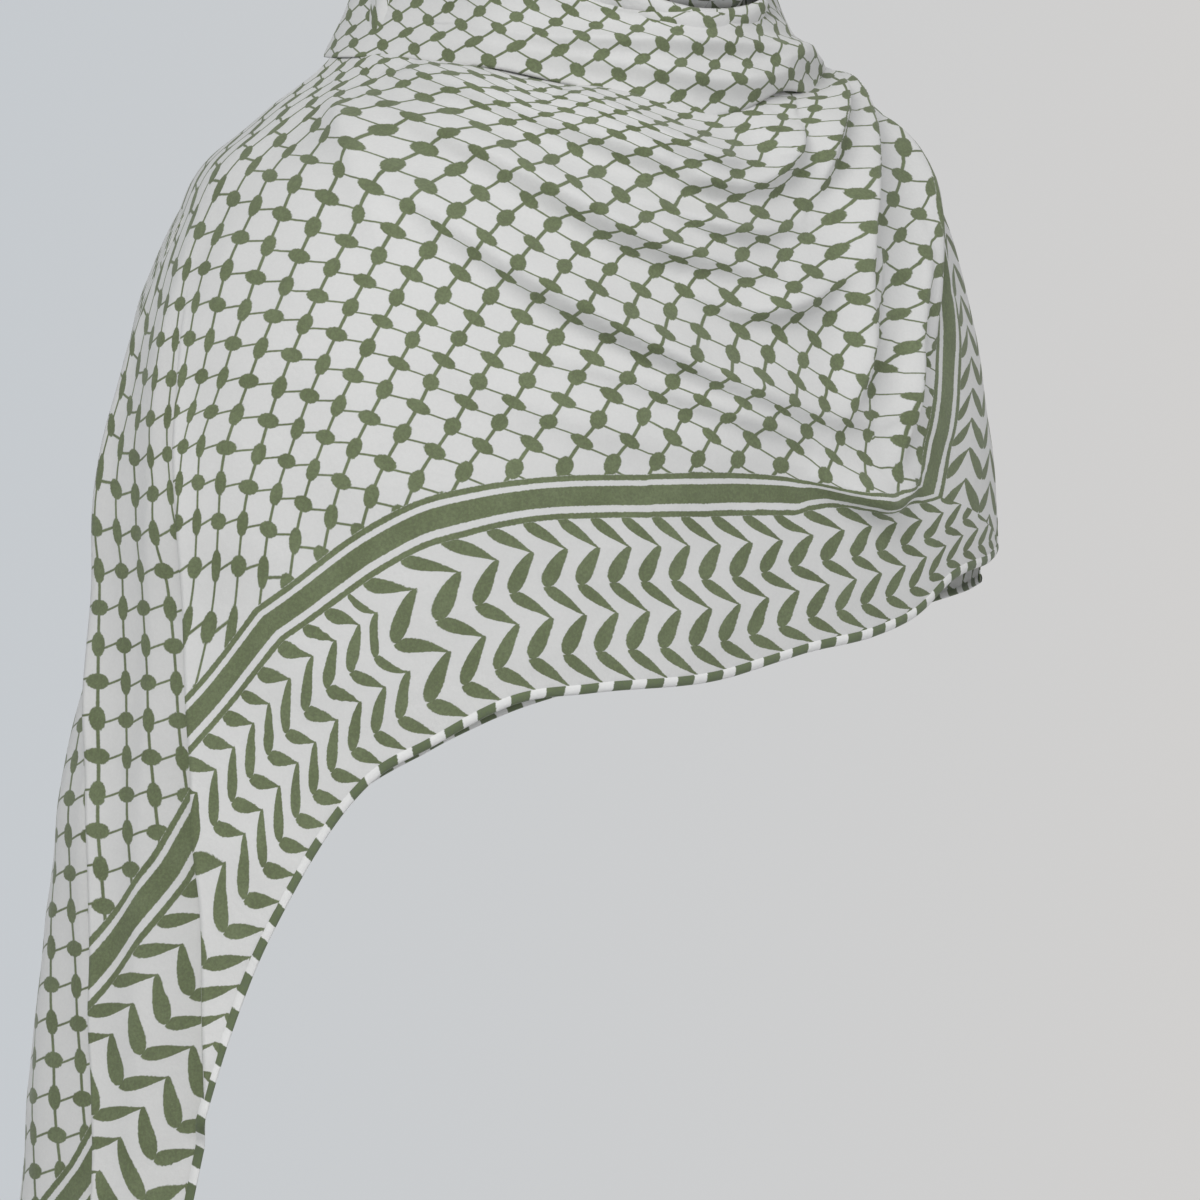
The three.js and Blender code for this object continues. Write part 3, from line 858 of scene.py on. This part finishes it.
def makeBackDrape():
    d = backDrape
    az = np.linspace(d["fromAz"], d["toAz"], d["columns"])[:, None] * np.ones(d["rows"])
    t = np.linspace(0, 1, d["rows"])[None, :]
    level = hemLevel(az[:, 0])[:, None] * (1 - t) + d["topLevel"] * t
    lift = -0.004 * np.maximum(smoothStep(az, -146, -130), smoothStep(-az, 278, 296))
    points, normal, _ = clothGrid(d, az, level, lift)
    charts = dict(hemChart=hemChart(az, level), sideChart=az[..., None] * 0 + noBorder,
                  netChart=netBehind(az, level))
    piece = clothPiece("backDrape", points, charts, voileCloth, d["thickness"])
    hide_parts("back_drape")
    return piece, (points, normal, charts)


backPiece, backCloth = makeBackDrape()
report("back drape made")

hood = dict(
    columns=300,
    rows=150,
    lowLevel=5.7,
    girth=0.602,        # of cloth round the face
    lift=-0.003,
    unevenness=0.0006,
    seed=8,
    thickness=0.0005,
    folds=[
        ([(-120, 1.4), (-112, 3.2), (-104, 4.6), (-98, 5.8)], 0.010, 0.005, 0.2),
        ([(-150, 2.6), (-138, 4.0), (-128, 5.2), (-118, 6.4)], 0.012, 0.005, -0.2),
        ([(-232, 1.4), (-240, 3.0), (-250, 4.6), (-258, 5.8)], 0.010, 0.005, 0.2),
        ([(-205, 2.8), (-214, 4.0), (-224, 5.2), (-232, 6.4)], 0.012, 0.005, 0.1),
        ([(-95, 0.4), (-92, 1.6), (-90, 3.0), (-86, 4.4)], 0.008, 0.004, 0.2),
        ([(-265, 0.4), (-268, 1.6), (-270, 3.0), (-274, 4.4)], 0.008, 0.004, -0.2),
        ([(-180, 3.2), (-181, 4.0), (-180, 4.8), (-178, 5.6)], 0.012, 0.004, 0.1),
    ],
)


def makeHood():
    d = hood
    turn = np.linspace(0, -360, d["columns"])[:, None]
    level = np.linspace(0, 1, d["rows"])[None, :] ** 1.1 * d["lowLevel"]
    az, level = np.broadcast_arrays(turn, level)
    lift = d["lift"] * smoothStep(level, 0.2, 1.5)
    points, normal, _ = clothGrid(d, az, level, lift)
    points[-1] = points[0]
    far = runDown(points)
    run = az / 360 * d["girth"]
    net = np.stack([run / knotStep, (far - bandInner) / knotStep], -1)
    charts = dict(hemChart=np.stack([run, far], -1), sideChart=az[..., None] * 0 + noBorder, netChart=net)
    piece = clothPiece("headCover", points, charts, voileCloth, d["thickness"])
    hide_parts("hood", "throat_wrap")
    return piece, (points, normal, charts)


hoodPiece, hoodCloth = makeHood()
report("hood made")

neckWrap = dict(
    columns=380,
    rows=100,
    start=100,
    end=-262,
    upper=((100, 3.6), (84, 2.9), (60, 1.9), (36, 1.1), (15, 0.75), (-8, 0.65), (-22, 0.8), (-60, 2.0),
           (-90, 3.4), (-120, 4.3), (-180, 4.4), (-240, 4.3), (-275, 4.2)),
    lower=((106, 6.2), (80, 6.1), (60, 5.9), (36, 5.5), (19, 5.3), (4, 5.8), (-8, 6.05), (-22, 5.8),
           (-38, 5.4), (-79, 5.45), (-111, 5.9), (-200, 5.9), (-260, 6.1), (-275, 6.1)),
    lift=0.0025,
    unevenness=0.0008,
    seed=11,
    thickness=0.0005,
    folds=[
        ([(46, 3.3), (14, 2.5), (-16, 2.2), (-50, 2.7)], 0.007, 0.006, 0.4),
        ([(52, 4.4), (30, 4.1), (2, 3.8), (-34, 4.0), (-74, 4.5)], 0.008, 0.008, 0.5),
        ([(50, 4.9), (28, 4.8), (2, 5.2), (-40, 4.8), (-80, 5.1)], 0.007, 0.006, 0.4),
        ([(-150, 4.9), (-190, 4.9), (-230, 5.0)], 0.009, 0.006, 0.2),
        ([(-150, 5.4), (-200, 5.3), (-250, 5.5)], 0.009, 0.005, 0.2),
        ([(44, 2.2), (20, 1.5), (-12, 1.3)], 0.007, 0.004, 0.3),
        ([(54, 5.2), (42, 4.8), (30, 4.5), (14, 4.6)], 0.006, 0.005, 0.4),
    ],
)


def makeNeckWrap():
    d = neckWrap
    turn = np.linspace(d["start"], d["end"], d["columns"])[:, None]
    t = np.linspace(0, 1, d["rows"])[None, :]
    upper = smoothRead(np.array(d["upper"], float), turn)
    lower = smoothRead(np.array(d["lower"], float), turn)
    az, level = np.broadcast_arrays(turn, upper * (1 - t) + lower * t)
    rounding = np.sqrt(np.clip(1 - np.abs(2 * t - 1) ** 10, 0, 1))
    lift = (d["lift"] - 0.0015 * smoothStep(-az, 60, 100)) * rounding
    points, _, _ = clothGrid(d, az, level, lift)
    middle = d["rows"] // 2
    run = runOf(points[:, middle])[:, None] * np.ones(d["rows"])
    down = runDown(points)
    down -= down[:, middle:middle + 1]
    net = np.stack([run * 1.12, down * -1.25], -1) / knotStep  # gathered, so its knots lie closer
    plain = az[..., None] * 0 + noBorder
    charts = dict(hemChart=plain, sideChart=plain, netChart=net)
    piece = clothPiece("neckWrap", points, charts, voileCloth, d["thickness"])
    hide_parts("chin_swag", "ear_gather")
    return piece


wrapPiece = makeNeckWrap()
report("neck wrap made")

hemSizes = dict(
    width=0.0045,
    height=0.0018,
    over=0.0006,        # how far the roll stands out past the cloth's edge
    sides=9,
    thickness=0.0002,
    ripples=((0.12, 0.019), (0.08, 0.0071)),  # share of the height, and length
)


def makeHem(name, cloth, row, kind, nodes):
    # a narrow rolled hem: a flattened roll that follows the cloth's edge, with its print running on
    points, normal, charts = cloth
    line, outside = points[row], normal[row]
    along = runOf(line)
    turn = np.linspace(0, 2 * math.pi, hemSizes["sides"])
    tangent = np.gradient(line, axis=0)
    tangent /= np.linalg.norm(tangent, axis=1, keepdims=True)
    inward = np.cross(tangent, outside)
    inward /= np.linalg.norm(inward, axis=1, keepdims=True)
    ripple = 1
    for share, length in hemSizes["ripples"]:
        ripple = ripple + share * np.sin(along * 2 * math.pi / length)
    middle = line + inward * (hemSizes["width"] / 2 - hemSizes["over"])
    aside = np.cos(turn) * hemSizes["width"] / 2
    up = np.sin(turn)[None, :] * (hemSizes["height"] / 2 * ripple)[:, None]
    roll = middle[:, None] + inward[:, None] * aside[None, :, None] + outside[:, None] * up[..., None]

    own = {chart: np.repeat(values[row][:, None], len(turn), 1).copy() for chart, values in charts.items()}
    own[kind][..., 0] = along[:, None]
    own[kind][..., 1] = (-0.006 - (1 - np.cos(turn)) * 0.001)[None, :]
    piece = clothPiece(name, roll, own, hemCloth, hemSizes["thickness"])
    piece.modifiers.clear()
    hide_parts(*nodes)
    return piece


def flipped(cloth, order):
    points, normal, charts = cloth
    return points[order], normal[order], {chart: values[order] for chart, values in charts.items()}


lowEdge = np.s_[:, 0]
lowerHemRoll = makeHem("chestHem", chestCloth, lowEdge, "hemChart", ("chest_hem", "arm_hem", "corner_hem"))
backHemRoll = makeHem("backHem", backCloth, lowEdge, "hemChart", ("back_hem",))
endHemRoll = makeHem("endHem", flipped(chestCloth, np.s_[:, ::-1]), np.s_[0], "sideChart",
                     ("end_hem", "gather_hem"))
faceHemRoll = makeHem("faceHem", flipped(hoodCloth, np.s_[::-1]), lowEdge, "hemChart",
                      ("face_hem", "throat_hem"))
report("hems made")

studio = dict(
    floorDepth=0.945,   # below the crown
    floorRadius=1.15,
    floorColour=(0.72, 0.72, 0.72, 1),
    wallCool=(0.56, 0.59, 0.62, 1),
    wallWarm=(0.64, 0.63, 0.62, 1),
    wallLight=1.0,
    roomLight=0.6,     # the room behind the camera is dimmer
    distance=8.0,
    azimuth=-40,
    middle=(0.0072, -0.0060, -0.5067),
    frameWidth=0.564,
    sensor=36,
    lights=(
        # name, place, size, power and colour
        ("windowLight", (-2.0, -1.3, 1.3), 1.5, 56, (1, 0.995, 0.98)),
        ("fillLight", (1.0, -2.8, 0.5), 2.0, 30, (1, 1, 1)),
    ),
)


def makeStage():
    d = studio
    bpy.ops.mesh.primitive_circle_add(vertices=96, radius=d["floorRadius"], fill_type="NGON",
                                      location=(0, 0, -d["floorDepth"]))
    floor = bpy.context.object
    floor.name = "floor"
    material = bpy.data.materials.new("floorPaint")
    material.use_nodes = True
    tree = material.node_tree
    shader = tree.nodes["Principled BSDF"]
    shader.inputs["Roughness"].default_value = 0.8
    noise = tree.nodes.new("ShaderNodeTexNoise")
    noise.inputs["Scale"].default_value = 30
    ramp = tree.nodes.new("ShaderNodeValToRGB")
    ramp.color_ramp.elements[0].color = tuple(0.96 * c for c in d["floorColour"][:3]) + (1,)
    ramp.color_ramp.elements[1].color = d["floorColour"]
    tree.links.new(noise.outputs["Fac"], ramp.inputs[0])
    tree.links.new(ramp.outputs[0], shader.inputs["Base Color"])
    floor.data.materials.append(material)

    world = bpy.data.worlds.new("studioWalls")
    bpy.context.scene.world = world
    world.use_nodes = True
    tree = world.node_tree
    background = tree.nodes["Background"]
    place = tree.nodes.new("ShaderNodeTexCoord")
    split = tree.nodes.new("ShaderNodeSeparateXYZ")
    ramp = tree.nodes.new("ShaderNodeValToRGB")
    tree.links.new(place.outputs["Generated"], split.inputs[0])
    tree.links.new(split.outputs["X"], ramp.inputs[0])
    ramp.color_ramp.elements[0].position = 0.612
    ramp.color_ramp.elements[0].color = d["wallCool"]
    ramp.color_ramp.elements[1].position = 0.672
    ramp.color_ramp.elements[1].color = d["wallWarm"]
    toward = tree.nodes.new("ShaderNodeVectorMath")
    toward.operation = "DOT_PRODUCT"
    angle = d["azimuth"] * degree
    toward.inputs[1].default_value = (-math.sin(angle), math.cos(angle), 0)
    tree.links.new(place.outputs["Generated"], toward.inputs[0])
    room = tree.nodes.new("ShaderNodeMapRange")
    room.inputs["From Min"].default_value = 0.1
    room.inputs["From Max"].default_value = 0.85
    room.inputs["To Min"].default_value = d["roomLight"]
    room.inputs["To Max"].default_value = d["wallLight"]
    tree.links.new(toward.outputs["Value"], room.inputs["Value"])
    tree.links.new(room.outputs[0], background.inputs["Strength"])
    tree.links.new(ramp.outputs[0], background.inputs["Color"])


def addLight(name, place, size, power, colour):
    lamp = bpy.data.lights.new(name, "AREA")
    lamp.size = size
    lamp.energy = power
    lamp.color = colour
    light = bpy.data.objects.new(name, lamp)
    bpy.context.scene.collection.objects.link(light)
    light.location = place
    aim = np.array(studio["middle"]) - np.array(place)
    light.rotation_mode = "QUATERNION"
    light.rotation_quaternion = Vector(aim.tolist()).to_track_quat("-Z", "Y")


def makeCamera():
    d = studio
    angle = d["azimuth"] * degree
    back = np.array([math.sin(angle), -math.cos(angle), 0])
    lens = bpy.data.cameras.new("camera")
    lens.sensor_width = d["sensor"]
    lens.lens = d["sensor"] * d["distance"] / d["frameWidth"]
    lens.clip_end = 50
    camera = bpy.data.objects.new("camera", lens)
    bpy.context.scene.collection.objects.link(camera)
    camera.location = (np.array(d["middle"]) + back * d["distance"]).tolist()
    camera.rotation_euler = (math.pi / 2, 0, angle)
    bpy.context.scene.camera = camera


makeStage()
for light in studio["lights"]:
    addLight(*light)
makeCamera()
bpy.context.scene.view_settings.view_transform = "Standard"
report("studio made")
